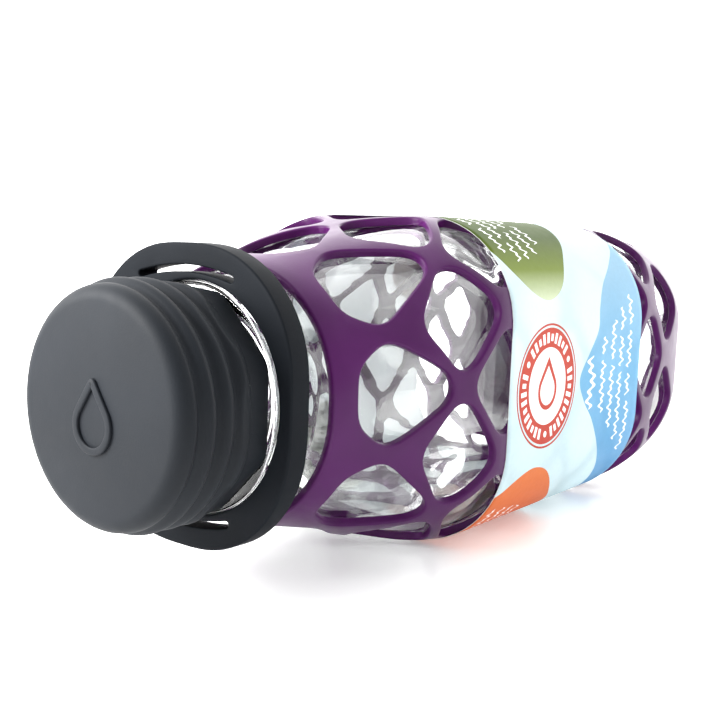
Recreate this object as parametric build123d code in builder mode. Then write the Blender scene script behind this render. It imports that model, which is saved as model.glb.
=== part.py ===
"""Rounded-square glass water bottle with a silicone mesh sleeve, a carry ring, a paper wrap and a push-on cap.

Millimetres, +Z up, origin at the centre of the underside, the four flats of the body face +-X and +-Y.
"""

import math
import os

from build123d import *

os.makedirs("parts", exist_ok=True)

# ---- overall -------------------------------------------------------------------------------------------------
body_half = 38.0        # centre to flat, measured over the sleeve
sleeve_t = 2.0          # silicone net thickness
glass_t = 3.0           # bottle wall
foot_rise = 50.0        # height over which the foot turns in
foot_draw = 11.6        # how far the foot turns in
shoulder_z = 128.5      # where the wall turns into the straight shoulder
shoulder_ease = 0.8     # how softly it turns
sleeve_top_z = 170.0    # open rim of the net
rim_half = 27.05        # centre to flat at that rim
neck_r = 23.0           # glass neck that the carry ring sits on
neck_foot_z = 174.6     # foot of the straight neck
collar_z = 181.7        # top of that neck
finish_r = 20.0         # glass that the cap pushes over
mouth_r = 16.5
mouth_z = 200.5
gap = 0.3               # running clearance between parts that move on each other

# ---- glass ---------------------------------------------------------------------------------------------------
glass_foot_z = sleeve_t
cavity_floor_z = 8.0
finish_relief = 0.6
bead_h = 3.4
corner_low, corner_mid, corner_high = 0.72, 0.64, 0.97   # corner radius as a share of the half width

# ---- mesh sleeve ---------------------------------------------------------------------------------------------
columns = 16            # half steps round the body; holes sit on every second one
row_step = 13.43
row_b1_z = 136.4        # second row, the top row is a taller shape of its own
regular_rows = 8
low_row_z = 27.3        # last row, on the turn of the foot
cell_half_w = 14.2
cell_half_h = 11.7
cell_fillet = 4.2
net_turn = -0.14        # columns that the net has slipped round the glass
top_row_z = 156.2
top_cell_half_w = 11.4
foot_opening_r = 22.5

# ---- paper wrap ----------------------------------------------------------------------------------------------
label_low_z = 50.8
label_high_z = 122.0
label_t = 0.3

# ---- carry ring ----------------------------------------------------------------------------------------------
ring_long = 60.8
ring_short = 57.9
ring_corner = 24.9
ring_shift = 2.5
ring_t = 5.2
ring_z = 176.3
ring_hole_r = neck_r + gap
slot_x = ring_hole_r + 2.1
slot_w = 1.4
slot_bend_r = 50.0
slot_half_deg = 14.8
ring_edge = 0.5

# ---- cap -----------------------------------------------------------------------------------------------------
cap_z = collar_z + gap
cap_top_z = 204.6
cap_dome = 0.5
cap_r = 22.9
cap_edge_r = 3.2
rib_count = 3
rib_pitch = 4.4
rib_h = 3.0
rib_out = 1.0
groove_in = 0.35
first_rib_z = 199.9
skirt_foot_r = 22.7
facet_apothem = 21.4
facet_lean_deg = 12.0
cap_bore_r = finish_r + gap
cap_ceiling_z = mouth_z + 0.4
plug_r = mouth_r - gap
plug_wall = 3.0
plug_foot_z = 190.0
emblem_r = 5.4
emblem_tip = 9.8
emblem_shift = -2.8       # towards -X, so that the drop looks centred
emblem_line = 1.5
emblem_h = 0.6


def half_width(z):
    """Centre to flat over the sleeve at height z."""
    if z < foot_rise:
        turn = (foot_rise - z) / foot_rise
        return body_half - foot_draw * (1 - math.sqrt(1 - turn * turn))
    lean = (body_half - rim_half) / (sleeve_top_z - shoulder_z)
    over = lean * (shoulder_z - z)
    return body_half + over - shoulder_ease * math.log(1 + math.exp(over / shoulder_ease))


def corner_share(z):
    """Corner radius divided by the half width: rounder low down, nearly round at the neck."""
    if z <= 122.0:
        return corner_low + (corner_mid - corner_low) * min(1.0, z / 122.0)
    return min(corner_high, corner_mid + (corner_high - corner_mid) * (z - 122.0) / (sleeve_top_z - 122.0))


def body_section(z, inset):
    """Rounded square at height z, pulled in by inset from the outside of the sleeve."""
    half = half_width(z) - inset
    with BuildSketch(Plane.XY.offset(z)) as s:
        RectangleRounded(2 * half, 2 * half, half * corner_share(z))
    return s.sketch


def body_loft(heights, inset):
    """Smooth solid through the rounded-square sections at the given heights."""
    with BuildPart() as p:
        for z in heights:
            add(body_section(z, inset))
        loft()
    return p.part


def outline_point(z, travel):
    """Point on the outside of the sleeve at height z, a distance travel round from the middle of the +Y flat."""
    half = half_width(z)
    corner = half * corner_share(z)
    straight = half - corner
    quarter = 2 * straight + math.pi / 2 * corner
    side = math.floor(travel / quarter + 0.5)
    s = travel - side * quarter
    flip = -1 if s < 0 else 1
    s = abs(s)
    if s <= straight:
        x, y = s, half
    else:
        a = (s - straight) / corner
        x, y = straight + corner * math.sin(a), straight + corner * math.cos(a)
    x *= flip
    turn = -side * math.pi / 2
    return (x * math.cos(turn) - y * math.sin(turn), x * math.sin(turn) + y * math.cos(turn)), 4 * quarter


def cell_plane(z, column):
    """Upright plane on the outside of the sleeve, square to the net at the given column."""
    _, around = outline_point(z, 0.0)
    middle = around * (column + net_turn) / columns
    (x0, y0), _ = outline_point(z, middle - cell_half_w * 0.8)
    (x1, y1), _ = outline_point(z, middle + cell_half_w * 0.8)
    length = math.hypot(x1 - x0, y1 - y0)
    dx, dy = (x1 - x0) / length, (y1 - y0) / length
    return Plane(origin=((x0 + x1) / 2, (y0 + y1) / 2, z), x_dir=(dx, dy, 0), z_dir=(dy, -dx, 0))


def cell(z, column, corners):
    """One rounded hole through the net, as a prism that crosses the wall."""
    with BuildPart() as p:
        with BuildSketch(cell_plane(z, column).offset(-11)):
            Polygon(*corners, align=None)
            fillet(vertices(), cell_fillet)
        extrude(amount=22)
    return p.part


def drop_outline(r, tip):
    """Closed outline of a water drop: a circle drawn out to a point."""
    lean = math.acos(r / tip)
    t = (r * math.cos(lean), r * math.sin(lean))
    with BuildSketch() as s:
        with BuildLine():
            Line((tip, 0), t)
            ThreePointArc(t, (-r, 0), (t[0], -t[1]))
            Line((t[0], -t[1]), (tip, 0))
        make_face()
    return s.sketch


# ---- shared body forms ---------------------------------------------------------------------------------------
foot_heights = [0.0, 1.0, 2.6, 6.0, 12.0, 21.0, 34.0, foot_rise]
wall_heights = [foot_rise + 20, 92.0, 110.0, label_high_z - 3]
shoulder_heights = [124.0, shoulder_z, 133.0, 139.0, 148.0, 158.0, 165.0]
net_form = body_loft(foot_heights + wall_heights + shoulder_heights + [sleeve_top_z], 0.0)
glass_form = body_loft(
    [glass_foot_z, 2.9, 4.5] + foot_heights[3:] + wall_heights + shoulder_heights + [sleeve_top_z], sleeve_t
)

# ---- glass bottle --------------------------------------------------------------------------------------------
cavity_heights = [cavity_floor_z + 2.2, 14.0, 21.0, 34.0, foot_rise] + wall_heights + shoulder_heights
with BuildPart() as cavity:
    floor_half = half_width(cavity_floor_z) - sleeve_t - glass_t - 6.0
    with BuildSketch(Plane.XY.offset(cavity_floor_z)):
        RectangleRounded(2 * floor_half, 2 * floor_half, floor_half * corner_low)
    for z in cavity_heights:
        add(body_section(z, sleeve_t + glass_t))
    loft()

with BuildPart() as neck:
    with BuildSketch(Plane.XZ):
        with BuildLine():
            Polyline(
                (0, 162.0),
                (neck_r - glass_t, 162.0),
                (rim_half - sleeve_t, sleeve_top_z - 2.0),
                (rim_half - sleeve_t, sleeve_top_z - 0.2),
                (neck_r + 0.5, neck_foot_z - 1.6),
                (neck_r, neck_foot_z),
                (neck_r, collar_z - 0.8),
                (neck_r - 0.8, collar_z),
                (finish_r - finish_relief, collar_z),
                (finish_r - finish_relief, mouth_z - bead_h),
                (finish_r, mouth_z - bead_h + finish_relief),
                (finish_r, mouth_z - 1.2),
                (finish_r - 1.2, mouth_z),
                (0, mouth_z),
                close=True,
            )
        make_face()
    revolve(axis=Axis.Z)

with BuildPart() as glass_bottle:
    add(glass_form)
    add(neck.part)
    add(cavity.part, mode=Mode.SUBTRACT)
    with BuildSketch(Plane.XZ):
        with BuildLine():
            Polyline(
                (0, 155.0),
                (neck_r - glass_t, 155.0),
                (neck_r - glass_t, 178.0),
                (mouth_r, 186.0),
                (mouth_r, mouth_z + 1),
                (0, mouth_z + 1),
                close=True,
            )
        make_face()
    revolve(axis=Axis.Z, mode=Mode.SUBTRACT)
glass_bottle.part.label = "glass_bottle"
export_step(glass_bottle.part, "parts/glass_bottle.step")

# ---- mesh sleeve ---------------------------------------------------------------------------------------------
plain_cell = [(-cell_half_w, 0), (0, -cell_half_h), (cell_half_w, 0), (0, cell_half_h)]
low_cell = [(-cell_half_w, 0), (0, -cell_half_h - 0.6), (cell_half_w, 0), (0, cell_half_h + 0.6)]
top_cell = [(-top_cell_half_w, 0), (0, -21.0), (top_cell_half_w, 0), (5.6, 7.9), (-5.6, 7.9)]
cells = []
for column in range(0, columns, 2):
    cells.append(cell(top_row_z, column, top_cell))
    cells.append(cell(low_row_z, column + 1, low_cell))
    for row in range(regular_rows):
        cells.append(cell(row_b1_z - row * row_step, column + 1 - row % 2, plain_cell))

with BuildPart() as mesh_sleeve:
    add(net_form)
    add(glass_form, mode=Mode.SUBTRACT)
    add(cells, mode=Mode.SUBTRACT)
    with BuildSketch(Plane.XY.offset(-1)):
        Circle(foot_opening_r)
    extrude(amount=glass_foot_z + 2, mode=Mode.SUBTRACT)
mesh_sleeve.part.label = "mesh_sleeve"
export_step(mesh_sleeve.part, "parts/mesh_sleeve.step")

# ---- paper wrap ----------------------------------------------------------------------------------------------
label_heights = [label_low_z, foot_rise + 20, 92.0, 110.0, label_high_z]
with BuildPart() as paper_label:
    add(body_loft(label_heights, -label_t))
    add(net_form, mode=Mode.SUBTRACT)
paper_label.part.label = "paper_label"
export_step(paper_label.part, "parts/paper_label.step")

# ---- carry ring ----------------------------------------------------------------------------------------------
with BuildPart() as carry_ring:
    with BuildSketch(Plane.XY.offset(ring_z)):
        with Locations((0, ring_shift)):
            RectangleRounded(ring_long, ring_short, ring_corner)
        Circle(ring_hole_r, mode=Mode.SUBTRACT)
    extrude(amount=ring_t)
    rims = carry_ring.edges().group_by(Axis.Z)
    fillet(rims[0] + rims[-1], ring_edge)
    with BuildSketch(Plane.XY.offset(ring_z - 1)):
        for side, middle_deg in ((1, 0), (-1, 180)):
            with BuildLine() as slot_path:
                CenterArc((side * (slot_x - slot_bend_r), ring_shift), slot_bend_r, middle_deg - slot_half_deg,
                          2 * slot_half_deg)
            SlotArc(slot_path.edge(), slot_w)
    extrude(amount=ring_t + 2, mode=Mode.SUBTRACT)
carry_ring.part.label = "carry_ring"
export_step(carry_ring.part, "parts/carry_ring.step")

# ---- cap -----------------------------------------------------------------------------------------------------
edge_z = cap_top_z - cap_edge_r
edge_in = cap_edge_r * (1 - math.sqrt(0.5))
with BuildPart() as skirt_facets:
    with BuildSketch(Plane.XY.offset(cap_z)):
        RegularPolygon(facet_apothem, 8, major_radius=False, rotation=22.5)
    extrude(amount=cap_top_z + 3 - cap_z, taper=-facet_lean_deg)

with BuildPart() as bottle_cap:
    with BuildSketch(Plane.XZ):
        with BuildLine():
            ThreePointArc((0, cap_top_z + cap_dome), (10, cap_top_z + 0.75 * cap_dome),
                          (cap_r - cap_edge_r, cap_top_z))
            ThreePointArc((cap_r - cap_edge_r, cap_top_z), (cap_r - edge_in, cap_top_z - edge_in), (cap_r, edge_z))
            ThreePointArc((cap_r, edge_z), (cap_r - groove_in, (edge_z + first_rib_z) / 2), (cap_r, first_rib_z))
            for rib in range(rib_count):
                top = first_rib_z - rib * rib_pitch
                low = top - rib_h
                ThreePointArc((cap_r, top), (cap_r + rib_out, (top + low) / 2), (cap_r, low))
                if rib < rib_count - 1:
                    ThreePointArc((cap_r, low), (cap_r - groove_in, low - (rib_pitch - rib_h) / 2),
                                  (cap_r, top - rib_pitch))
            Polyline((cap_r, low), (skirt_foot_r, cap_z), (0, cap_z), (0, cap_top_z + cap_dome))
        make_face()
    revolve(axis=Axis.Z)
    add(skirt_facets.part, mode=Mode.INTERSECT)
    with BuildSketch(Plane.XZ):
        with BuildLine():
            Polyline(
                (0, cap_z - 1),
                (cap_bore_r, cap_z - 1),
                (cap_bore_r, cap_ceiling_z),
                (plug_r, cap_ceiling_z),
                (plug_r, plug_foot_z + 1),
                (plug_r - 1, plug_foot_z),
                (plug_r - plug_wall, plug_foot_z),
                (plug_r - plug_wall, cap_ceiling_z),
                (0, cap_ceiling_z),
                close=True,
            )
        make_face()
    revolve(axis=Axis.Z, mode=Mode.SUBTRACT)
    with BuildSketch(Plane.XY.offset(cap_top_z - 0.5)):
        with Locations((emblem_shift, 0)):
            add(drop_outline(emblem_r, emblem_tip))
            add(drop_outline(emblem_r - emblem_line, emblem_tip - 2.2 * emblem_line), mode=Mode.SUBTRACT)
    extrude(amount=0.5 + cap_dome + emblem_h)
bottle_cap.part.label = "bottle_cap"
export_step(bottle_cap.part, "parts/bottle_cap.step")
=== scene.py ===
"""Looks for the glass water bottle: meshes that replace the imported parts, materials, light and camera.

Shapes are written in millimetres and scaled to metres when a mesh is made. +Z runs up the bottle, which
lies on its -X flat here, so the floor is an upright plane just under that flat.
"""

import math

import bmesh
import bpy
import numpy as np
from mathutils import Matrix, Vector
from mathutils.geometry import delaunay_2d_cdt


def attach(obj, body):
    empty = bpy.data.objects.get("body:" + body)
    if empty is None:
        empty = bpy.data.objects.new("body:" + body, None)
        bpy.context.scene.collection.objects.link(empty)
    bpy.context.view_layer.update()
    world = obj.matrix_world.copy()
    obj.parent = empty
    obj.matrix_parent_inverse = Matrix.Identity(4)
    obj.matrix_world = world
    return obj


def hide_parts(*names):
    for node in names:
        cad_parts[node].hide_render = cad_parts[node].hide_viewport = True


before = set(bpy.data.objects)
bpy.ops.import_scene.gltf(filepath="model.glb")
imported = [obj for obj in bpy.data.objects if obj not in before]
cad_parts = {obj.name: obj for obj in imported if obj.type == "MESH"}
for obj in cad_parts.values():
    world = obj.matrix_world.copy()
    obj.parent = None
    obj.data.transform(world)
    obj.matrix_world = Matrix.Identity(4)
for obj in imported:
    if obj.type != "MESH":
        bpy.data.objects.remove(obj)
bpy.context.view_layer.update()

MM = 0.001
COLUMNS = 16

# ---- body form, as in the CAD --------------------------------------------------------------------
BODY_HALF = 38.0
SLEEVE_T = 2.0
FOOT_RISE, FOOT_DRAW = 50.0, 11.6
SHOULDER_Z, SHOULDER_EASE = 128.5, 0.8
RIM_Z, RIM_HALF = 170.0, 27.05
CORNER_LOW, CORNER_MID, CORNER_HIGH, CORNER_Z = 0.72, 0.64, 0.97, 122.0


def half_width(z):
    turn = np.clip((FOOT_RISE - z) / FOOT_RISE, 0.0, 1.0)
    over = (BODY_HALF - RIM_HALF) / (RIM_Z - SHOULDER_Z) * (SHOULDER_Z - z)
    shoulder = over - SHOULDER_EASE * np.log1p(np.exp(over / SHOULDER_EASE))
    return BODY_HALF + shoulder - FOOT_DRAW * (1 - np.sqrt(1 - turn * turn))


def corner_share(z):
    low = CORNER_LOW + (CORNER_MID - CORNER_LOW) * np.clip(z / CORNER_Z, 0, 1)
    return low + (CORNER_HIGH - CORNER_MID) * np.clip((z - CORNER_Z) / (RIM_Z - CORNER_Z), 0, 1)


def around(z):
    half = half_width(z)
    return 8 * half - (8 - 2 * math.pi) * half * corner_share(z)


def section(column, z, inset=0.0):
    """Points of the rounded-square outline at height z; column 0 is mid +Y flat, column 4 mid +X flat."""
    column, z = np.broadcast_arrays(np.asarray(column, float), np.asarray(z, float))
    half = half_width(z) - inset
    corner = half * corner_share(z)
    straight = half - corner
    quarter = 2 * straight + math.pi / 2 * corner
    side = np.floor(column / 4 + 0.5)
    s = (column / 4 - side) * quarter
    bend = np.clip((np.abs(s) - straight) / corner, 0, None)
    x = np.where(bend > 0, straight + corner * np.sin(bend), np.abs(s)) * np.where(s < 0, -1, 1)
    y = np.where(bend > 0, straight + corner * np.cos(bend), half)
    turn = -side * math.pi / 2
    return np.stack([x * np.cos(turn) - y * np.sin(turn), x * np.sin(turn) + y * np.cos(turn), z], -1)


# travel along the upright profile of a flat, from the foot to the rim
_z = RIM_Z * np.linspace(0, 1, 4001) ** 2
_travel = np.concatenate([[0], np.cumsum(np.hypot(np.diff(half_width(_z)), np.diff(_z)))])
_log_r = np.concatenate([[0], np.cumsum(np.diff(_travel) * 2 * math.pi / around((_z[1:] + _z[:-1]) / 2))])
TRAVEL_TOP = float(_travel[-1])


def z_of(travel):
    return np.interp(travel, _travel, _z)


def travel_of(z):
    return np.interp(z, _z, _travel)


def surface(column, z, depth):
    """Points a given depth under the outside of the sleeve, square to it."""
    t = travel_of(z)
    step = 0.04
    low, high = z_of(np.clip(t - step, 0, None)), z_of(np.clip(t + step, None, TRAVEL_TOP))
    up = section(column, high) - section(column, low)
    across = section(column + 0.004, z) - section(column - 0.004, z)
    normal = np.cross(up, across)
    normal /= np.linalg.norm(normal, axis=-1, keepdims=True)
    return section(column, z) - normal * np.asarray(depth)[..., None]


# ---- mesh making ---------------------------------------------------------------------------------
def add_mesh(name, points, faces, materials, body, node, picks=None):
    mesh = bpy.data.meshes.new(name)
    mesh.from_pydata([tuple(p) for p in np.asarray(points) * MM], [], faces)
    for m in materials:
        mesh.materials.append(m)
    if picks is not None:
        mesh.polygons.foreach_set("material_index", picks)
    bm = bmesh.new()
    bm.from_mesh(mesh)
    loose = [v for v in bm.verts if not v.link_faces]
    bmesh.ops.delete(bm, geom=loose, context="VERTS")
    bmesh.ops.recalc_face_normals(bm, faces=bm.faces)
    bm.to_mesh(mesh)
    bm.free()
    mesh.polygons.foreach_set("use_smooth", [True] * len(mesh.polygons))
    mesh.update()
    obj = bpy.data.objects.new(name, mesh)
    bpy.context.scene.collection.objects.link(obj)
    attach(obj, body)
    if node:
        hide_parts(node)
    return obj


def strip(rings):
    """Quads between neighbouring closed rings of point numbers."""
    faces = []
    for a, b in zip(rings, rings[1:]):
        n = len(a)
        faces += [(a[i], a[(i + 1) % n], b[(i + 1) % n], b[i]) for i in range(n)]
    return faces


def lathe(rings, first=None, last=None):
    """Points and faces through rings of (N, 3) points, closed at either end by a fan to a centre point."""
    n = len(rings[0])
    points = [p for ring in rings for p in ring]
    index = [list(range(k * n, k * n + n)) for k in range(len(rings))]
    faces = strip(index)
    for centre, ring in ((first, index[0]), (last, index[-1])):
        if centre is not None:
            points.append(centre)
            hub = len(points) - 1
            faces += [(ring[i], ring[(i + 1) % n], hub) for i in range(n)]
    return points, faces


def circle(radius, z, angles):
    radius = np.broadcast_to(radius, angles.shape)
    return np.stack([radius * np.sin(angles), radius * np.cos(angles), np.full(angles.shape, float(z))], -1)


def triangulate(loops, fill, flat):
    """Delaunay triangles between closed loops of domain points, none of them inside an inner loop."""
    domain = np.concatenate(loops + [fill])
    plane = flat(domain)
    edges, where, start = [], {}, 0
    for k, loop in enumerate(loops):
        n = len(loop)
        edges += [(start + i, start + (i + 1) % n) for i in range(n)]
        where.update({start + i: (k, i) for i in range(n)})
        start += n
    turns = []
    start = 0
    for loop in loops:
        p = plane[start:start + len(loop)]
        q = np.roll(p, -1, axis=0)
        turns.append(np.sum(p[:, 0] * q[:, 1] - q[:, 0] * p[:, 1]) > 0)
        start += len(loop)
    _, _, found, origin, _, _ = delaunay_2d_cdt([Vector(p) for p in plane], edges, [], 0, 1e-8)
    faces = []
    for face in found:
        tri = [origin[i][0] for i in face]
        at = [where.get(i) for i in tri]
        if all(at) and len({k for k, _ in at}) == 1:
            k = at[0][0]
            order = [i for _, i in sorted(zip([i for _, i in at], tri))]
            a, b, c = plane[order]
            ccw = (b[0] - a[0]) * (c[1] - a[1]) - (c[0] - a[0]) * (b[1] - a[1]) > 0
            if ccw == turns[k] and k > 0:
                continue
        faces.append(tri)
    return domain, faces


def pierced(loops, walls, fill, flat, place, thickness):
    """A shell with holes: loops on its face, the same loops on its back, and wall rings between each pair."""
    domain, faces = triangulate(loops, fill, flat)
    n = len(domain)
    points = list(place(domain, 0.0)) + list(place(domain, thickness))
    tris = faces + [(c + n, b + n, a + n) for a, b, c in faces]
    start = 0
    for loop, rings in zip(loops, walls):
        index = [list(range(start, start + len(loop)))]
        for ring in rings:
            index.append(list(range(len(points), len(points) + len(ring))))
            points += list(ring)
        index.append([i + n for i in index[0]])
        tris += strip(index)
        start += len(loop)
    return points, tris


def edge_profile(outer_r, inner_r, thickness, steps=5):
    """(distance from the wall, depth) pairs round the face edge, down the wall and round the back edge."""
    out = []
    for k in range(1, steps + 1):
        a = math.pi / 2 * k / steps
        out.append((outer_r * (1 - math.sin(a)), outer_r * (1 - math.cos(a))))
    for k in range(steps - 1):
        a = math.pi / 2 * k / (steps - 1)
        out.append((outer_r * (1 - math.cos(a)), thickness - inner_r * (1 - math.sin(a))))
    return out


def rounded(corners, radius, count, soften=0):
    """Closed outline of a polygon with filleted corners, evenly spaced, and its outward normals."""
    corners = np.asarray(corners, float)
    out = []
    for k in range(len(corners)):
        a, b, c = corners[k - 1], corners[k], corners[(k + 1) % len(corners)]
        u, v = (a - b) / np.linalg.norm(a - b), (c - b) / np.linalg.norm(c - b)
        half = math.acos(np.clip(u @ v, -1, 1)) / 2
        reach = radius / math.tan(half)
        bis = (u + v) / np.linalg.norm(u + v)
        centre = b + bis * radius / math.sin(half)
        p, q = b + u * reach - centre, b + v * reach - centre
        sweep = math.atan2(p[0] * q[1] - p[1] * q[0], p @ q)
        for t in np.linspace(0, 1, 9):
            ca, sa = math.cos(sweep * t), math.sin(sweep * t)
            out.append(centre + np.array([p[0] * ca - p[1] * sa, p[0] * sa + p[1] * ca]))
    return even(np.array(out), count, soften)


def even(path, count, soften=0):
    """Even spacing round a closed path, optional smoothing, with normals that point away from its middle."""
    closed = np.concatenate([path, path[:1]])
    length = np.concatenate([[0], np.cumsum(np.linalg.norm(np.diff(closed, axis=0), axis=1))])
    t = np.linspace(0, length[-1], count, endpoint=False)
    pts = np.stack([np.interp(t, length, closed[:, i]) for i in (0, 1)], -1)
    for _ in range(soften):
        pts = (np.roll(pts, 1, 0) + 2 * pts + np.roll(pts, -1, 0)) / 4
    tangent = np.roll(pts, -1, 0) - np.roll(pts, 1, 0)
    tangent /= np.linalg.norm(tangent, axis=1, keepdims=True)
    normal = np.stack([tangent[:, 1], -tangent[:, 0]], -1)
    if np.sum(normal * (pts - pts.mean(0))) < 0:
        normal = -normal
    return pts, normal


# ---- materials -----------------------------------------------------------------------------------
def material(name, **inputs):
    m = bpy.data.materials.new(name)
    m.use_nodes = True
    shader = m.node_tree.nodes["Principled BSDF"]
    for key, value in inputs.items():
        shader.inputs[key.replace("_", " ")].default_value = value
    return m, m.node_tree, shader


def node(tree, kind, links=(), **settings):
    n = tree.nodes.new(kind)
    for key, value in settings.items():
        if key in n.inputs:
            n.inputs[key].default_value = value
        else:
            setattr(n, key, value)
    for key, source in links:
        tree.links.new(source, n.inputs[key])
    return n


def noise(tree, scale, detail=4.0, stretch=None, roughness=0.5):
    coord = tree.nodes.new("ShaderNodeTexCoord").outputs["Object"]
    if stretch:
        coord = node(tree, "ShaderNodeMapping", [("Vector", coord)], Scale=stretch).outputs[0]
    return node(tree, "ShaderNodeTexNoise", [("Vector", coord)], Scale=scale, Detail=detail,
                Roughness=roughness).outputs[0]


def ramp(tree, source, stops):
    r = node(tree, "ShaderNodeValToRGB", [("Fac", source)])
    while len(r.color_ramp.elements) < len(stops):
        r.color_ramp.elements.new(0.5)
    for element, (at, colour) in zip(r.color_ramp.elements, stops):
        element.position = at
        element.color = (*colour, 1) if len(colour) == 3 else colour
    return r.outputs[0]


def spread(tree, source, low, high):
    return node(tree, "ShaderNodeMapRange", [("Value", source)], **{"To Min": low, "To Max": high}).outputs[0]


def add_bump(tree, shader, heights):
    """Chain of bumps: (height socket, strength, distance in metres)."""
    last = None
    for height, strength, distance in heights:
        links = [("Height", height)] + ([("Normal", last)] if last else [])
        last = node(tree, "ShaderNodeBump", links, Strength=strength, Distance=distance).outputs[0]
    tree.links.new(last, shader.inputs["Normal"])


def shade(colour, factor):
    return tuple(min(1.0, c * factor) for c in colour)


def silicone(name, colour, roughness, **inputs):
    """Moulded silicone: a slight cloudiness of colour, fine grain, soft uneven gloss."""
    m, tree, shader = material(name, **inputs)
    cloud = noise(tree, 60.0, 3.0)
    tree.links.new(ramp(tree, cloud, [(0.3, shade(colour, 0.88)), (0.7, shade(colour, 1.12))]),
                   shader.inputs["Base Color"])
    tree.links.new(spread(tree, noise(tree, 240.0, 4.0), roughness - 0.07, roughness + 0.07),
                   shader.inputs["Roughness"])
    add_bump(tree, shader, [
        (noise(tree, 2600.0, 2.0), 0.22, 0.00008),
        (noise(tree, 90.0, 2.0), 0.12, 0.0004),
    ])
    return m


PURPLE = (0.050, 0.0040, 0.060)
CHARCOAL = (0.0082, 0.0100, 0.0130)
sleeve_mat = silicone("sleeve_silicone", PURPLE, 0.34, Specular_IOR_Level=0.17)
cap_mat = silicone("cap_silicone", CHARCOAL, 0.58, Specular_IOR_Level=0.12)
ring_mat = silicone("ring_silicone", shade(CHARCOAL, 0.8), 0.6, Specular_IOR_Level=0.05)


def glass_material():
    """Clear pressed glass with a mould's slow waviness; light passes straight through it into its shadow."""
    m, tree, shader = material("clear_glass", Transmission_Weight=1.0, Roughness=0.015, IOR=1.5)
    shader.inputs["Base Color"].default_value = (0.985, 0.995, 0.99, 1)
    add_bump(tree, shader, [
        (noise(tree, 38.0, 2.0, stretch=(1.0, 1.0, 0.35)), 0.5, 0.0012),
        (noise(tree, 150.0, 2.0, stretch=(1.0, 1.0, 0.25)), 0.25, 0.0003),
    ])
    clear = node(tree, "ShaderNodeBsdfTransparent", Color=(0.96, 0.975, 0.97, 1))
    path = tree.nodes.new("ShaderNodeLightPath")
    mix = node(tree, "ShaderNodeMixShader", [(0, path.outputs["Is Shadow Ray"])])
    tree.links.new(shader.outputs[0], mix.inputs[1])
    tree.links.new(clear.outputs[0], mix.inputs[2])
    tree.links.new(mix.outputs[0], tree.nodes["Material Output"].inputs["Surface"])
    return m


def print_material(name, stops, glow=0.0):
    """Printed paper: colour that runs from one tone to another along X, which is up as the bottle lies; paper
    fibre in bump and gloss. For the green, the dark end of that run is painted shade.

    glow is the share of light that the sheet lets through instead of sending back.
    """
    m, tree, shader = material(name, Specular_IOR_Level=0.07)
    coord = tree.nodes.new("ShaderNodeTexCoord")
    split = node(tree, "ShaderNodeSeparateXYZ", [("Vector", coord.outputs["Object"])])
    along = node(tree, "ShaderNodeMapRange", [("Value", split.outputs["X"])],
                 **{"From Min": -BODY_HALF * MM, "From Max": BODY_HALF * MM}).outputs[0]
    tone = ramp(tree, along, stops)
    grain = ramp(tree, noise(tree, 900.0, 6.0), [(0.35, (0.955,) * 3), (0.65, (1.0,) * 3)])
    mix = node(tree, "ShaderNodeMix", data_type="RGBA", blend_type="MULTIPLY")
    mix.inputs[0].default_value = 1.0
    tree.links.new(tone, mix.inputs[6])
    tree.links.new(grain, mix.inputs[7])
    tree.links.new(mix.outputs[2], shader.inputs["Base Color"])
    tree.links.new(spread(tree, noise(tree, 500.0, 4.0), 0.48, 0.62), shader.inputs["Roughness"])
    add_bump(tree, shader, [
        (noise(tree, 1500.0, 4.0), 0.1, 0.00008),
        (noise(tree, 45.0, 2.0), 0.12, 0.0006),
    ])
    if glow:
        lit = node(tree, "ShaderNodeBsdfTranslucent", Color=(0.95, 0.95, 0.95, 1))
        both = node(tree, "ShaderNodeMixShader")
        both.inputs[0].default_value = glow
        tree.links.new(shader.outputs[0], both.inputs[1])
        tree.links.new(lit.outputs[0], both.inputs[2])
        tree.links.new(both.outputs[0], tree.nodes["Material Output"].inputs["Surface"])
    return m


glass_mat = glass_material()
ink = {
    "ground": print_material("print_ground", [
        (0.0, (0.56, 0.74, 0.79)), (1.0, (0.62, 0.77, 0.80))], glow=0.25),
    "blue": print_material("print_blue", [
        (0.1, (0.10, 0.30, 0.54)), (0.5, (0.16, 0.39, 0.60)), (0.85, (0.25, 0.44, 0.59))], glow=0.1),
    # painted shade: the green turns dark toward +X, round the corner onto the top flat
    "green": print_material("print_green_with_painted_shade", [
        (0.76, (0.52, 0.59, 0.40)), (0.85, (0.15, 0.20, 0.03)), (0.95, (0.045, 0.075, 0.007))]),
    "orange": print_material("print_orange", [(0.0, (0.55, 0.11, 0.03)), (0.35, (0.60, 0.18, 0.057))]),
    "red": print_material("print_red", [(0.0, (0.42, 0.052, 0.036)), (1.0, (0.44, 0.068, 0.044))]),
    "white": print_material("print_white", [(0.0, (0.86, 0.87, 0.86)), (1.0, (0.88, 0.89, 0.88))]),
    "back": print_material("paper_back", [(0.0, (0.92, 0.92, 0.93)), (1.0, (0.93, 0.93, 0.94))], glow=0.5),
}

# ---- glass bottle --------------------------------------------------------------------------------
GLASS_DEPTH = SLEEVE_T + 0.04
WALL = 5.0
FOOT_HOLLOW, FOOT_RING = 2.2, 0.92       # how far the base is pushed up, and the share of it that is
BASE_CROWN = 1.2                         # rise of the inside of the base at its middle


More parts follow.
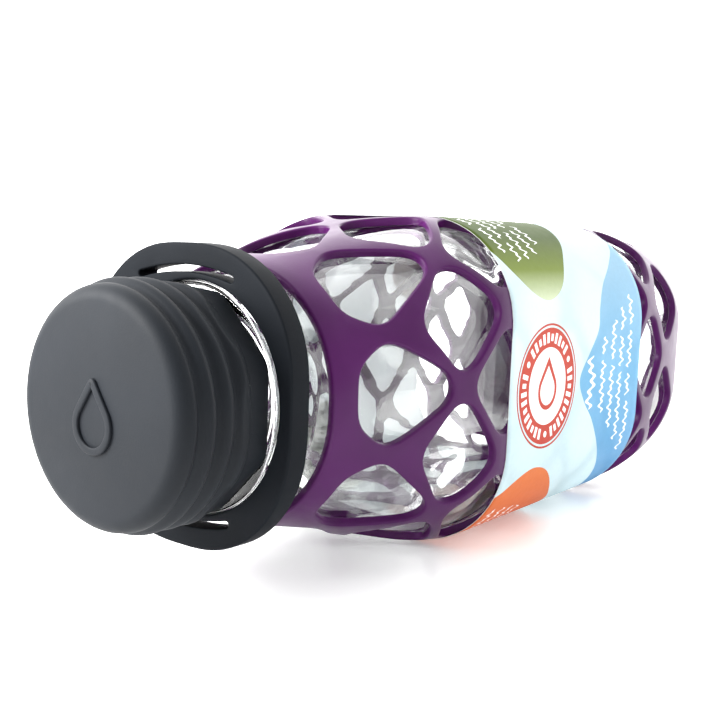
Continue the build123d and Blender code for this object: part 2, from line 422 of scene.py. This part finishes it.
def glass_bottle():
    n = 192
    columns = np.arange(n) * COLUMNS / n
    angles = columns / COLUMNS * 2 * math.pi
    foot = surface(columns, 0.0, GLASS_DEPTH)
    rings = []
    for share in (0.1, 0.25, 0.4, 0.55, 0.7, 0.8, 0.87, FOOT_RING):
        ring = foot * [share, share, 1]
        ring[:, 2] += FOOT_HOLLOW * (1 - (share / FOOT_RING) ** 2)
        rings.append(ring)
    for travel in list(np.arange(0, 24, 1.5)) + list(np.arange(24, float(travel_of(168.0)), 2.5)):
        rings.append(surface(columns, float(z_of(travel)), GLASS_DEPTH))
    neck = [(25.0, 169.6), (24.6, 171.2), (23.9, 172.8), (23.25, 174.1), (23.0, 175.2), (23.0, 178.0),
            (23.0, 180.6), (22.85, 181.3), (22.3, 181.7), (19.9, 181.75), (19.5, 182.0), (19.4, 182.6),
            (19.4, 189.0), (19.4, 196.6), (19.6, 197.0), (19.95, 197.5), (20.0, 198.2), (19.9, 199.4),
            (19.5, 200.1), (18.8, 200.45), (17.4, 200.45), (16.8, 200.1), (16.5, 199.2), (16.5, 193.0),
            (16.5, 187.0), (17.1, 184.4), (18.6, 181.4), (19.8, 178.4), (20.1, 175.0), (20.6, 172.0),
            (21.6, 168.6)]
    rings += [circle(r, z, angles) for r, z in neck]
    for z in list(np.arange(164.0, 20.0, -3.0)) + [17.0, 14.5, 12.6]:
        rings.append(section(columns, z, WALL))
    for z, extra in ((10.8, 0.8), (9.4, 2.2), (8.6, 4.2), (8.2, 7.0)):
        rings.append(section(columns, z, WALL + extra))
    last = rings[-1]
    for share in (0.75, 0.5, 0.25):
        ring = last * [share, share, 1]
        ring[:, 2] += BASE_CROWN * (1 - share ** 2)
        rings.append(ring)
    under, over = (0, 0, foot[0, 2] + FOOT_HOLLOW), (0, 0, last[0, 2] + BASE_CROWN + 0.05)
    points, faces = lathe(rings, first=under, last=over)
    add_mesh("glass_body", points, faces, [glass_mat], "bottle", "glass_bottle")


# ---- mesh sleeve ---------------------------------------------------------------------------------
ROW_STEP, ROW_B1_Z, REGULAR_ROWS = 13.43, 136.4, 8
LOW_ROW_Z, TOP_ROW_Z = 27.3, 156.2
NET_TURN = -0.14
FOOT_OPENING_R = 22.5
EDGE_OUT, EDGE_IN = 0.55, 0.3
CELL_POINTS = 56

plain_cell = rounded([(-14.2, 0), (0, -11.7), (14.2, 0), (0, 11.7)], 4.2, CELL_POINTS, 4)
low_cell = rounded([(-14.2, 0), (0, -12.3), (14.2, 0), (0, 12.3)], 4.2, CELL_POINTS, 4)
top_cell = rounded([(-11.4, 0), (0, -21.0), (11.4, 0), (5.6, 7.9), (-5.6, 7.9)], 4.2, CELL_POINTS, 4)


def cell_list():
    cells = []
    for column in range(0, COLUMNS, 2):
        cells.append((column + NET_TURN, TOP_ROW_Z, top_cell))
        cells.append((column + NET_TURN + 1, LOW_ROW_Z, low_cell))
        for row in range(REGULAR_ROWS):
            cells.append((column + NET_TURN + 1 - row % 2, ROW_B1_Z - row * ROW_STEP, plain_cell))
    return cells


def cell_ring(cell, offset):
    column, z0, (shape, normal) = cell
    local = shape + normal * offset
    z = z0 + local[:, 1]
    return np.stack([column + local[:, 0] * COLUMNS / around(z), z], -1)


def net_plane(domain):
    angle = domain[:, 0] / COLUMNS * 2 * math.pi
    radius = np.exp(np.interp(travel_of(domain[:, 1]), _travel, _log_r))
    return np.stack([radius * np.cos(angle), radius * np.sin(angle)], -1)


def net_place(domain, depth):
    return surface(domain[:, 0], domain[:, 1], np.full(len(domain), float(depth)))


def mesh_sleeve():
    n = 240
    columns = np.arange(n) * COLUMNS / n
    cells = cell_list()
    profile = edge_profile(EDGE_OUT, EDGE_IN, SLEEVE_T)

    def rim_ring(offset):
        return np.stack([columns, np.full(n, float(z_of(TRAVEL_TOP - offset)))], -1)

    loops = [rim_ring(EDGE_OUT), np.stack([columns, np.zeros(n)], -1)]
    loops += [cell_ring(c, EDGE_OUT) for c in cells]
    walls = [[net_place(rim_ring(o), d) for o, d in profile]]
    edge = section(columns, 0.0)
    reach = np.linalg.norm(edge[:, :2], axis=1)
    spoke = edge / reach[:, None]

    def foot_ring(radius, z):
        ring = spoke * np.broadcast_to(radius, reach.shape)[:, None]
        ring[:, 2] = z
        return ring

    share = (0.5, 1.0)
    walls.append(
        [foot_ring(reach + (FOOT_OPENING_R + EDGE_OUT - reach) * s, 0.0) for s in share]
        + [foot_ring(FOOT_OPENING_R + o, d) for o, d in profile]
        + [foot_ring(reach + (FOOT_OPENING_R + EDGE_OUT - reach) * s, SLEEVE_T) for s in share[::-1]]
    )
    for c in cells:
        walls.append([net_place(cell_ring(c, o), d) for o, d in profile])

    grid = []
    for k, travel in enumerate(np.arange(1.6, TRAVEL_TOP - EDGE_OUT - 1.2, 2.2)):
        z = float(z_of(travel))
        count = int(round(float(around(z)) / 2.3 / 8)) * 8
        grid.append(np.stack([(np.arange(count) + 0.5 * (k % 2)) * COLUMNS / count, np.full(count, z)], -1))
    fill = np.concatenate(grid)
    keep = np.ones(len(fill), bool)
    for column, z0, (shape, normal) in cells:
        turn = (fill[:, 0] - column + COLUMNS / 2) % COLUMNS - COLUMNS / 2
        local = np.stack([turn * around(fill[:, 1]) / COLUMNS, fill[:, 1] - z0], -1)
        near = np.where(np.max(np.abs(local), axis=1) < 20)[0]
        gap = np.max(local[near] @ normal.T - np.sum(shape * normal, axis=1), axis=1)
        keep[near[gap < EDGE_OUT + 0.7]] = False
    points, faces = pierced(loops, walls, fill[keep], net_plane, net_place, SLEEVE_T)
    add_mesh("net_sleeve", points, faces, [sleeve_mat], "bottle", "mesh_sleeve")


# ---- paper wrap ----------------------------------------------------------------------------------
LABEL_LOW, LABEL_HIGH = 50.8, 122.0
PITCH = float(around(80.0)) / COLUMNS


def smooth_loop(control, per=10):
    """Closed Catmull-Rom curve through given points."""
    p = np.asarray(control, float)
    out = []
    for k in range(len(p)):
        a, b, c, d = p[k - 1], p[k], p[(k + 1) % len(p)], p[(k + 2) % len(p)]
        for t in np.linspace(0, 1, per, endpoint=False):
            out.append(0.5 * (2 * b + (c - a) * t + (2 * a - 5 * b + 4 * c - d) * t * t
                              + (3 * b - a - 3 * c + d) * t ** 3))
    return np.array(out)


def disc(centre, radius, count=72):
    a = np.linspace(0, 2 * math.pi, count, endpoint=False)
    return np.asarray(centre) + radius * np.stack([np.cos(a), np.sin(a)], -1)


def drop(centre, radius, tip, count=48):
    """Water drop whose point is toward lower column numbers."""
    lean = math.acos(radius / tip)
    a = np.linspace(lean, 2 * math.pi - lean, count)
    body = np.stack([-radius * np.cos(a), radius * np.sin(a)], -1)
    return np.asarray(centre) + np.concatenate([body, [[-tip, 0.0]]])


def squiggle(start, length, z, height, weight, wave):
    """One unreadable 'word': a wavy pen stroke with rounded ends."""
    count = max(8, int(length / wave * 12))
    x = np.linspace(0, length, count)
    taper = np.sqrt(np.clip(np.minimum(x, length - x) / (weight * 0.5), 0.02, 1))
    y = height / 2 * np.sin(x / wave * 2 * math.pi + start) * np.cos(x * 0.9 + z)
    half = weight / 2 * taper
    upper = np.stack([start + x, z + y + half], -1)
    lower = np.stack([start + x, z + y - half], -1)[::-1]
    return np.concatenate([upper, lower])


def writing(first, last, z, height, words, seed):
    """A line of squiggles between two columns; words are shares of the line."""
    rng = np.random.default_rng(seed)
    out, x = [], first * PITCH
    total = (last - first) * PITCH
    gap = 1.5
    usable = total - gap * (len(words) - 1)
    for w in words:
        length = usable * w / sum(words)
        out.append(squiggle(x, length, z + rng.uniform(-0.2, 0.2), height, height * 0.42, height * 0.95))
        x += length + gap
    return out


def label_art():
    """Shapes in paint order: (outline in mm, ink). Blobs and lines are placed by (column, height)."""
    blobs = [
        ("green", [(3.6, 112), (4.4, 126), (5.5, 128), (6.1, 121), (6.4, 117), (6.68, 111), (6.79, 104),
                   (6.62, 96.5), (6.2, 89.5), (5.65, 80.5), (4.9, 75), (4.1, 78), (3.6, 92)]),
        ("orange", [(9.2, 106), (9.25, 112), (9.45, 119), (9.75, 126), (11.0, 128), (11.9, 117), (12.2, 104),
                    (11.9, 90), (11.1, 80), (10.3, 82.5), (9.75, 91), (9.34, 99)]),
        ("blue", [(5.6, 47), (5.95, 56), (6.25, 64), (6.6, 73), (6.95, 77.3), (7.3, 78.2), (7.6, 82),
                  (8.0, 87.2), (8.35, 84.5), (8.65, 79.6), (8.95, 76), (9.3, 71.2), (9.65, 66.5), (10.1, 62),
                  (10.6, 57), (11.0, 46), (9.5, 42), (8.0, 42), (6.5, 42)]),
        ("green", [(14.4, 128), (15.2, 114), (14.9, 98), (14.2, 90), (13.4, 95), (13.0, 108), (13.1, 122),
                   (13.6, 130)]),
        ("orange", [(1.0, 45), (1.1, 62), (1.9, 74), (2.9, 72), (3.5, 60), (3.6, 46), (2.3, 41)]),
        ("blue", [(0.6, 128), (0.8, 108), (1.5, 99), (2.3, 106), (2.7, 118), (2.6, 130)]),
    ]
    art = [(smooth_loop(np.asarray(points, float) * [PITCH, 1.0]), colour) for colour, points in blobs]
    lines = [
        (7.68, 8.52, 80.6, 4.2, (1,)),
        (7.40, 8.62, 73.8, 2.7, (2, 6)),
        (7.15, 8.90, 68.6, 2.7, (5, 8)),
        (6.95, 9.15, 63.2, 2.7, (3, 4, 9)),
        (6.75, 9.40, 57.8, 2.7, (4, 5, 3, 7)),
        (4.55, 6.05, 116.0, 2.3, (5, 3, 6)),
        (4.35, 6.20, 111.2, 2.3, (4, 7, 3)),
        (4.25, 6.15, 106.4, 2.3, (6, 4, 5)),
        (4.25, 6.05, 101.6, 2.3, (3, 5, 4)),
        (4.35, 5.85, 96.8, 2.3, (7, 4)),
        (9.80, 11.6, 117.0, 2.3, (4, 3, 6)),
        (9.85, 11.6, 112.2, 2.3, (6, 5)),
        (9.90, 11.6, 107.4, 2.3, (3, 5, 4)),
        (9.95, 11.5, 102.6, 2.3, (5, 6)),
        (13.35, 14.8, 112.0, 2.3, (4, 6)),
        (13.45, 14.7, 107.2, 2.3, (5, 4)),
        (1.35, 3.2, 62.0, 2.3, (4, 5, 3)),
        (1.25, 3.2, 57.2, 2.3, (6, 5)),
        (1.0, 2.3, 114.0, 2.3, (4, 4)),
    ]
    for k, (first, last, z, height, words) in enumerate(lines):
        art += [(w, "white") for w in writing(first, last, z, height, words, k)]
    seal = np.array([8.02 * PITCH, 104.3])
    art += [(disc(seal, 14.7), "red"), (disc(seal, 14.2), "ground"), (disc(seal, 13.7), "red")]
    marks = 36
    for k in range(marks):
        if k % 12 in (0, 11):
            continue
        a = 2 * math.pi * (k + 0.5) / marks
        u, v = np.array([math.cos(a), math.sin(a)]), np.array([-math.sin(a), math.cos(a)])
        tall = 1.25 if k % 3 else 0.85
        bar = [seal + u * (11.4 + i * tall) + v * j * 0.55 for i, j in ((-1, -1), (1, -1), (1, 1), (-1, 1))]
        art.append((np.array(bar), "white"))
    for k in range(3):
        a = 2 * math.pi * k / 3
        art.append((disc(seal + 11.4 * np.array([math.cos(a), math.sin(a)]), 0.75, 16), "white"))
    art += [(disc(seal, 9.1), "white"), (drop(seal + [1.0, 0], 4.6, 8.0), "red"),
            (drop(seal + [1.0, 0], 3.5, 5.8), "white")]
    return art


def inside(points, outline):
    """Even-odd test of points against a closed outline."""
    x, y = points[:, 0], points[:, 1]
    hit = np.zeros(len(points), bool)
    for a, b in zip(outline, np.roll(outline, -1, axis=0)):
        crosses = (a[1] > y) != (b[1] > y)
        with np.errstate(divide="ignore", invalid="ignore"):
            at = (b[0] - a[0]) * (y - a[1]) / (b[1] - a[1]) + a[0]
        hit ^= crosses & (x < at)
    return hit


def paper_label():
    lap, across, up = 0.35, 130, 36
    width = (COLUMNS + lap) * PITCH
    xs = np.linspace(0, width, across + 1)
    ys = np.linspace(LABEL_LOW, LABEL_HIGH, up + 1)
    rectangle = np.concatenate([
        np.stack([xs[:-1], np.full(across, LABEL_LOW)], -1),
        np.stack([np.full(up, width), ys[:-1]], -1),
        np.stack([xs[:0:-1], np.full(across, LABEL_HIGH)], -1),
        np.stack([np.zeros(up), ys[:0:-1]], -1),
    ])
    art = label_art()
    loops = [rectangle] + [outline for outline, _ in art]
    gx, gy = np.meshgrid(xs[1:-1], ys[1:-1])
    fill = np.stack([gx.ravel(), gy.ravel()], -1)
    points, edges = [], []
    for loop in loops:
        start, n = len(points), len(loop)
        points += [Vector(p) for p in loop]
        edges += [(start + i, start + (i + 1) % n) for i in range(n)]
    points += [Vector(p) for p in fill]
    verts, _, found, _, _, _ = delaunay_2d_cdt(points, edges, [], 0, 1e-4)
    flat = np.array([tuple(v) for v in verts])
    found = np.array([f for f in found if len(f) == 3])
    middle = flat[found].mean(axis=1)
    sheet = (middle[:, 0] > 0) & (middle[:, 0] < width)
    sheet &= (middle[:, 1] > LABEL_LOW) & (middle[:, 1] < LABEL_HIGH)
    found, middle = found[sheet], middle[sheet]
    names = list(ink)
    picks = np.zeros(len(found), int)
    for outline, colour in art:
        low, high = outline.min(axis=0), outline.max(axis=0)
        near = np.where(np.all((middle >= low) & (middle <= high), axis=1))[0]
        picks[near[inside(middle[near], outline)]] = names.index(colour)

    # the far end laps over the start at the back of the body
    column = flat[:, 0] / PITCH
    lift = 0.14 * np.clip((column - COLUMNS + 0.25) / 0.2, 0, 1)
    z = flat[:, 1]
    front = surface(column, z, -(0.16 + lift))
    back = surface(column, z, -(0.04 + lift))
    n = len(flat)
    faces = [tuple(t) for t in found] + [tuple(t[::-1] + n) for t in found]
    sides = {}
    for t in found:
        for a, b in ((t[0], t[1]), (t[1], t[2]), (t[2], t[0])):
            sides[(a, b)] = True
    rim = [(b, a, a + n, b + n) for a, b in sides if (b, a) not in sides]
    faces += rim
    all_picks = list(picks) + [names.index("back")] * (len(found) + len(rim))
    add_mesh("paper_wrap", np.concatenate([front, back]), faces, [ink[k] for k in names], "bottle",
             "paper_label", picks=all_picks)


# ---- carry ring ----------------------------------------------------------------------------------
RING_LONG, RING_SHORT, RING_CORNER, RING_SHIFT = 60.8, 57.9, 24.9, 2.5
RING_Z, RING_T, RING_HOLE_R, RING_EDGE = 176.3, 5.2, 23.3, 0.5
SLOT_X, SLOT_W, SLOT_BEND_R, SLOT_HALF_DEG = RING_HOLE_R + 2.1, 1.4, 50.0, 14.8


def carry_ring():
    n = 200
    a, b = RING_LONG / 2, RING_SHORT / 2
    outline, outward = rounded([(-a, -b), (a, -b), (a, b), (-a, b)], RING_CORNER, n, 6)
    outline = outline + [0, RING_SHIFT]
    angles = np.linspace(0, 2 * math.pi, n, endpoint=False)
    ray = np.stack([np.cos(angles), np.sin(angles)], -1)
    profile = edge_profile(RING_EDGE, RING_EDGE, RING_T, 6)
    slot_profile = edge_profile(0.35, 0.35, RING_T, 4)

    def slot_ring(side, offset):
        half, radius = math.radians(SLOT_HALF_DEG), SLOT_W / 2 + offset
        sweep = np.linspace(-half, half, 22)
        cap = np.linspace(0, math.pi, 8)[1:-1]
        out = [SLOT_BEND_R + radius, sweep], [SLOT_BEND_R - radius, sweep[::-1]]
        far = [np.stack([r * np.cos(t), r * np.sin(t)], -1) for r, t in out]
        ends = []
        for s in (1, -1):
            u = np.array([math.cos(half), s * math.sin(half)])
            v = np.array([-math.sin(half), s * math.cos(half)])
            ends.append(SLOT_BEND_R * u + radius * (np.cos(cap)[:, None] * u * s + np.sin(cap)[:, None] * v))
        ring = np.concatenate([far[0], ends[0], far[1], ends[1]])
        return (ring + [SLOT_X - SLOT_BEND_R, 0]) * side + [0, RING_SHIFT]

    loops = [outline - outward * RING_EDGE, ray * (RING_HOLE_R + RING_EDGE)]
    loops += [slot_ring(side, 0.35) for side in (1, -1)]

    def place(domain, depth):
        return np.concatenate([domain, np.full((len(domain), 1), RING_Z + RING_T - depth)], 1)

    walls = [
        [place(outline - outward * o, d) for o, d in profile],
        [place(ray * (RING_HOLE_R + o), d) for o, d in profile],
    ] + [[place(slot_ring(side, o), d) for o, d in slot_profile] for side in (1, -1)]
    fill = []
    for share in np.linspace(0.2, 0.8, 4):
        ring = loops[1] * (1 - share) + share * np.stack(
            [np.interp(angles, *axis_of(loops[0], i)) for i in (0, 1)], -1)
        fill.append(ring[::2])
    fill = np.concatenate(fill)
    reach = np.stack([np.abs(fill[:, 0]) - SLOT_X + SLOT_BEND_R, fill[:, 1] - RING_SHIFT], -1)
    beside = np.abs(np.linalg.norm(reach, axis=1) - SLOT_BEND_R) > SLOT_W / 2 + 0.7
    clear = beside | (np.abs(np.degrees(np.arctan2(reach[:, 1], reach[:, 0]))) > SLOT_HALF_DEG + 2)
    points, faces = pierced(loops, walls, fill[clear], lambda p: p, place, RING_T)
    add_mesh("carry_loop", points, faces, [ring_mat], "ring", "carry_ring")


def axis_of(loop, axis):
    """(angle, coordinate) of a loop round the origin, sorted and padded for interpolation."""
    angle = np.arctan2(loop[:, 1], loop[:, 0]) % (2 * math.pi)
    order = np.argsort(angle)
    angle, value = angle[order], loop[order, axis]
    return (np.concatenate([angle[-1:] - 2 * math.pi, angle, angle[:1] + 2 * math.pi]),
            np.concatenate([value[-1:], value, value[:1]]))


# ---- cap -----------------------------------------------------------------------------------------
CAP_Z, CAP_TOP_Z, CAP_DOME, CAP_R, CAP_EDGE_R = 182.0, 204.6, 0.5, 22.9, 3.2
RIB_COUNT, RIB_PITCH, RIB_H, RIB_OUT, GROOVE_IN, FIRST_RIB_Z = 3, 4.4, 3.0, 1.0, 0.35, 199.9
FACET_APOTHEM, FACET_LEAN = 21.4, math.radians(12.0)
CAP_BORE_R, CAP_CEILING_Z, PLUG_R, PLUG_WALL, PLUG_FOOT_Z = 20.3, 200.9, 16.2, 3.0, 190.0


def cap_radius(z):
    """Radius of the ribbed side at height z, before the facets."""
    if z > FIRST_RIB_Z:
        t = (CAP_TOP_Z - CAP_EDGE_R - z) / (CAP_TOP_Z - CAP_EDGE_R - FIRST_RIB_Z)
        return CAP_R - GROOVE_IN * math.sin(math.pi * t)
    k, into = divmod(FIRST_RIB_Z - z, RIB_PITCH)
    if k >= RIB_COUNT or (k == RIB_COUNT - 1 and into > RIB_H):
        low = FIRST_RIB_Z - (RIB_COUNT - 1) * RIB_PITCH - RIB_H
        return CAP_R - 0.2 * (low - z) / (low - CAP_Z)
    if into <= RIB_H:
        return CAP_R + RIB_OUT * (1 - (2 * into / RIB_H - 1) ** 2)
    return CAP_R - GROOVE_IN * math.sin(math.pi * (into - RIB_H) / (RIB_PITCH - RIB_H))


def bottle_cap():
    n = 240
    angles = np.arange(n) * 2 * math.pi / n
    off_facet = (angles + math.pi / 8) % (math.pi / 4) - math.pi / 8

    def side(z, inset=0.0):
        facet = (FACET_APOTHEM + math.tan(FACET_LEAN) * (z - CAP_Z)) / np.cos(off_facet)
        soft = 0.16
        radius = -soft * np.logaddexp(-cap_radius(z) / soft, -facet / soft)
        return circle(radius - inset, z, angles)

    face_r = CAP_R - CAP_EDGE_R
    rings = [circle(r, CAP_TOP_Z + CAP_DOME * (1 - (r / face_r) ** 2), angles)
             for r in (1, 3, 6, 9, 12, 15, 17.5, 19.0)]
    for k in range(0, 10):
        t = math.pi / 2 * k / 9
        ring = circle(face_r + CAP_EDGE_R * math.sin(t), CAP_TOP_Z - CAP_EDGE_R * (1 - math.cos(t)), angles)
        rings.append(ring)
    for z in np.arange(CAP_TOP_Z - CAP_EDGE_R - 0.25, CAP_Z + 0.6, -0.25):
        rings.append(side(float(z)))
    for t in np.linspace(0.15, 1, 5) * math.pi / 2:
        rings.append(side(CAP_Z + 0.5 * (1 - math.sin(t)), 0.5 * (1 - math.cos(t))))
    low_edge = 0.3
    plug_in_r = PLUG_R - PLUG_WALL
    inner = [(CAP_BORE_R + low_edge, CAP_Z), (CAP_BORE_R, CAP_Z + low_edge), (CAP_BORE_R, 188),
             (CAP_BORE_R, 195), (CAP_BORE_R, CAP_CEILING_Z - 0.4), (CAP_BORE_R - 0.4, CAP_CEILING_Z),
             (PLUG_R + 0.4, CAP_CEILING_Z), (PLUG_R, CAP_CEILING_Z - 0.4), (PLUG_R, 196),
             (PLUG_R, PLUG_FOOT_Z + 1.2), (PLUG_R - 0.25, PLUG_FOOT_Z + 0.5), (PLUG_R - 0.9, PLUG_FOOT_Z),
             (plug_in_r + 0.5, PLUG_FOOT_Z), (plug_in_r, PLUG_FOOT_Z + 0.5), (plug_in_r, 196),
             (plug_in_r, CAP_CEILING_Z - 1.0), (plug_in_r - 1.0, CAP_CEILING_Z), (6.0, CAP_CEILING_Z)]
    rings += [circle(r, z, angles) for r, z in inner]
    points, faces = lathe(rings, first=(0, 0, CAP_TOP_Z + CAP_DOME), last=(0, 0, CAP_CEILING_Z))
    add_mesh("cap_body", points, faces, [cap_mat], "cap", "bottle_cap")


EMBLEM_R, EMBLEM_TIP, EMBLEM_LINE, EMBLEM_H, EMBLEM_SHIFT = 5.4, 9.8, 1.5, 0.6, -2.8


def cap_emblem():
    """Raised outline of a water drop, its point toward +X."""
    mid_r, mid_tip = EMBLEM_R - EMBLEM_LINE / 2, EMBLEM_TIP - 1.1 * EMBLEM_LINE
    lean = math.acos(mid_r / mid_tip)
    a = np.linspace(lean, 2 * math.pi - lean, 64)
    path = np.concatenate([mid_r * np.stack([np.cos(a), np.sin(a)], -1), [[mid_tip, 0.0]]])
    middle, outward = even(path, 120, 3)
    middle = middle + [EMBLEM_SHIFT, 0]
    face_r = CAP_R - CAP_EDGE_R
    half, soft = EMBLEM_LINE / 2, 0.28
    steps = [(half, -0.3), (half, EMBLEM_H - soft), (half - 0.3 * soft, EMBLEM_H - 0.3 * soft),
             (half - soft, EMBLEM_H)]
    steps += [(-o, h) for o, h in steps[::-1]]
    rings = []
    for o, h in steps:
        flat = middle + outward * o
        z = CAP_TOP_Z + CAP_DOME * (1 - np.sum(flat ** 2, axis=1) / face_r ** 2) + h
        rings.append(np.concatenate([flat, z[:, None]], 1))
    n = len(middle)
    points = [p for ring in rings for p in ring]
    index = [list(range(k * n, k * n + n)) for k in range(len(rings))]
    faces = strip(index + [index[0]])
    add_mesh("cap_emblem", points, faces, [cap_mat], "cap", None)


glass_bottle()
mesh_sleeve()
paper_label()
carry_ring()
bottle_cap()
cap_emblem()


# ---- camera --------------------------------------------------------------------------------------
camera_data = bpy.data.cameras.new("camera")
camera_data.sensor_width = 36.0
camera_data.lens = 51.243
camera_data.shift_x = 0.00109
camera_data.shift_y = 0.00334
camera_data.clip_start = 0.01
camera = bpy.data.objects.new("camera", camera_data)
bpy.context.scene.collection.objects.link(camera)
right = Vector((0.03673, -0.79031, -0.61160))
up = Vector((0.99206, 0.10248, -0.07286))
back = Vector((0.12026, -0.60407, 0.78780))
turn = Matrix((right, up, back)).transposed().to_4x4()
camera.matrix_world = Matrix.Translation((0.0324006, -0.1476208, 0.3198481)) @ turn
bpy.context.scene.camera = camera

# ---- floor and light -----------------------------------------------------------------------------
FLOOR_X = -0.0386


def floor_plane():
    """The pale table under the -X flat; from behind it lets the eye through, and never hides the bottle."""
    mesh = bpy.data.meshes.new("floor")
    reach = 8.0
    corners = [(-reach, -reach), (reach, -reach), (reach, reach), (-reach, reach)]
    mesh.from_pydata([(FLOOR_X, y, z) for y, z in corners], [], [(0, 1, 2, 3)])
    m, tree, shader = material("floor_pale", Roughness=0.35, Specular_IOR_Level=0.4)
    shader.inputs["Base Color"].default_value = (0.9, 0.9, 0.9, 1)
    shader.inputs["Emission Color"].default_value = (1, 1, 1, 1)
    shader.inputs["Emission Strength"].default_value = 0.26
    clear = tree.nodes.new("ShaderNodeBsdfTransparent")
    side = tree.nodes.new("ShaderNodeNewGeometry")
    mix = node(tree, "ShaderNodeMixShader", [(0, side.outputs["Backfacing"])])
    tree.links.new(shader.outputs[0], mix.inputs[1])
    tree.links.new(clear.outputs[0], mix.inputs[2])
    tree.links.new(mix.outputs[0], tree.nodes["Material Output"].inputs["Surface"])
    mesh.materials.append(m)
    obj = bpy.data.objects.new("floor", mesh)
    bpy.context.scene.collection.objects.link(obj)


def area_light(name, place, target, size, power):
    data = bpy.data.lights.new(name, "AREA")
    data.shape = "RECTANGLE"
    data.size, data.size_y = size
    data.energy = power
    obj = bpy.data.objects.new(name, data)
    place, target = Vector(place), Vector(target)
    obj.location = place
    obj.rotation_euler = (target - place).to_track_quat("-Z", "Y").to_euler()
    obj.visible_camera = False
    bpy.context.scene.collection.objects.link(obj)


BACKDROP = (-0.05, 0.62, -0.78)          # direction of the bright side of the studio
FRONT_LIGHT, BACK_LIGHT = 1.0, 4.0
FADE_FROM, FADE_TO = -0.35, 0.55         # cosines to that direction between which the light grows


floor_plane()
world = bpy.data.worlds.new("studio")
bpy.context.scene.world = world
world.use_nodes = True
tree = world.node_tree
sky = node(tree, "ShaderNodeTexCoord").outputs["Generated"]
toward = node(tree, "ShaderNodeVectorMath", [(0, sky)], operation="DOT_PRODUCT")
toward.inputs[1].default_value = BACKDROP
strength = node(tree, "ShaderNodeMapRange", [("Value", toward.outputs["Value"])],
                interpolation_type="SMOOTHSTEP",
                **{"From Min": FADE_FROM, "From Max": FADE_TO, "To Min": FRONT_LIGHT, "To Max": BACK_LIGHT})
tree.links.new(strength.outputs[0], tree.nodes["Background"].inputs["Strength"])
tree.nodes["Background"].inputs["Color"].default_value = (1, 1, 1, 1)
area_light("face_left", (0.09, 0.10, 0.33), (0, 0, 0.205), (0.12, 0.12), 1.4)
bpy.context.scene.view_settings.view_transform = "Standard"
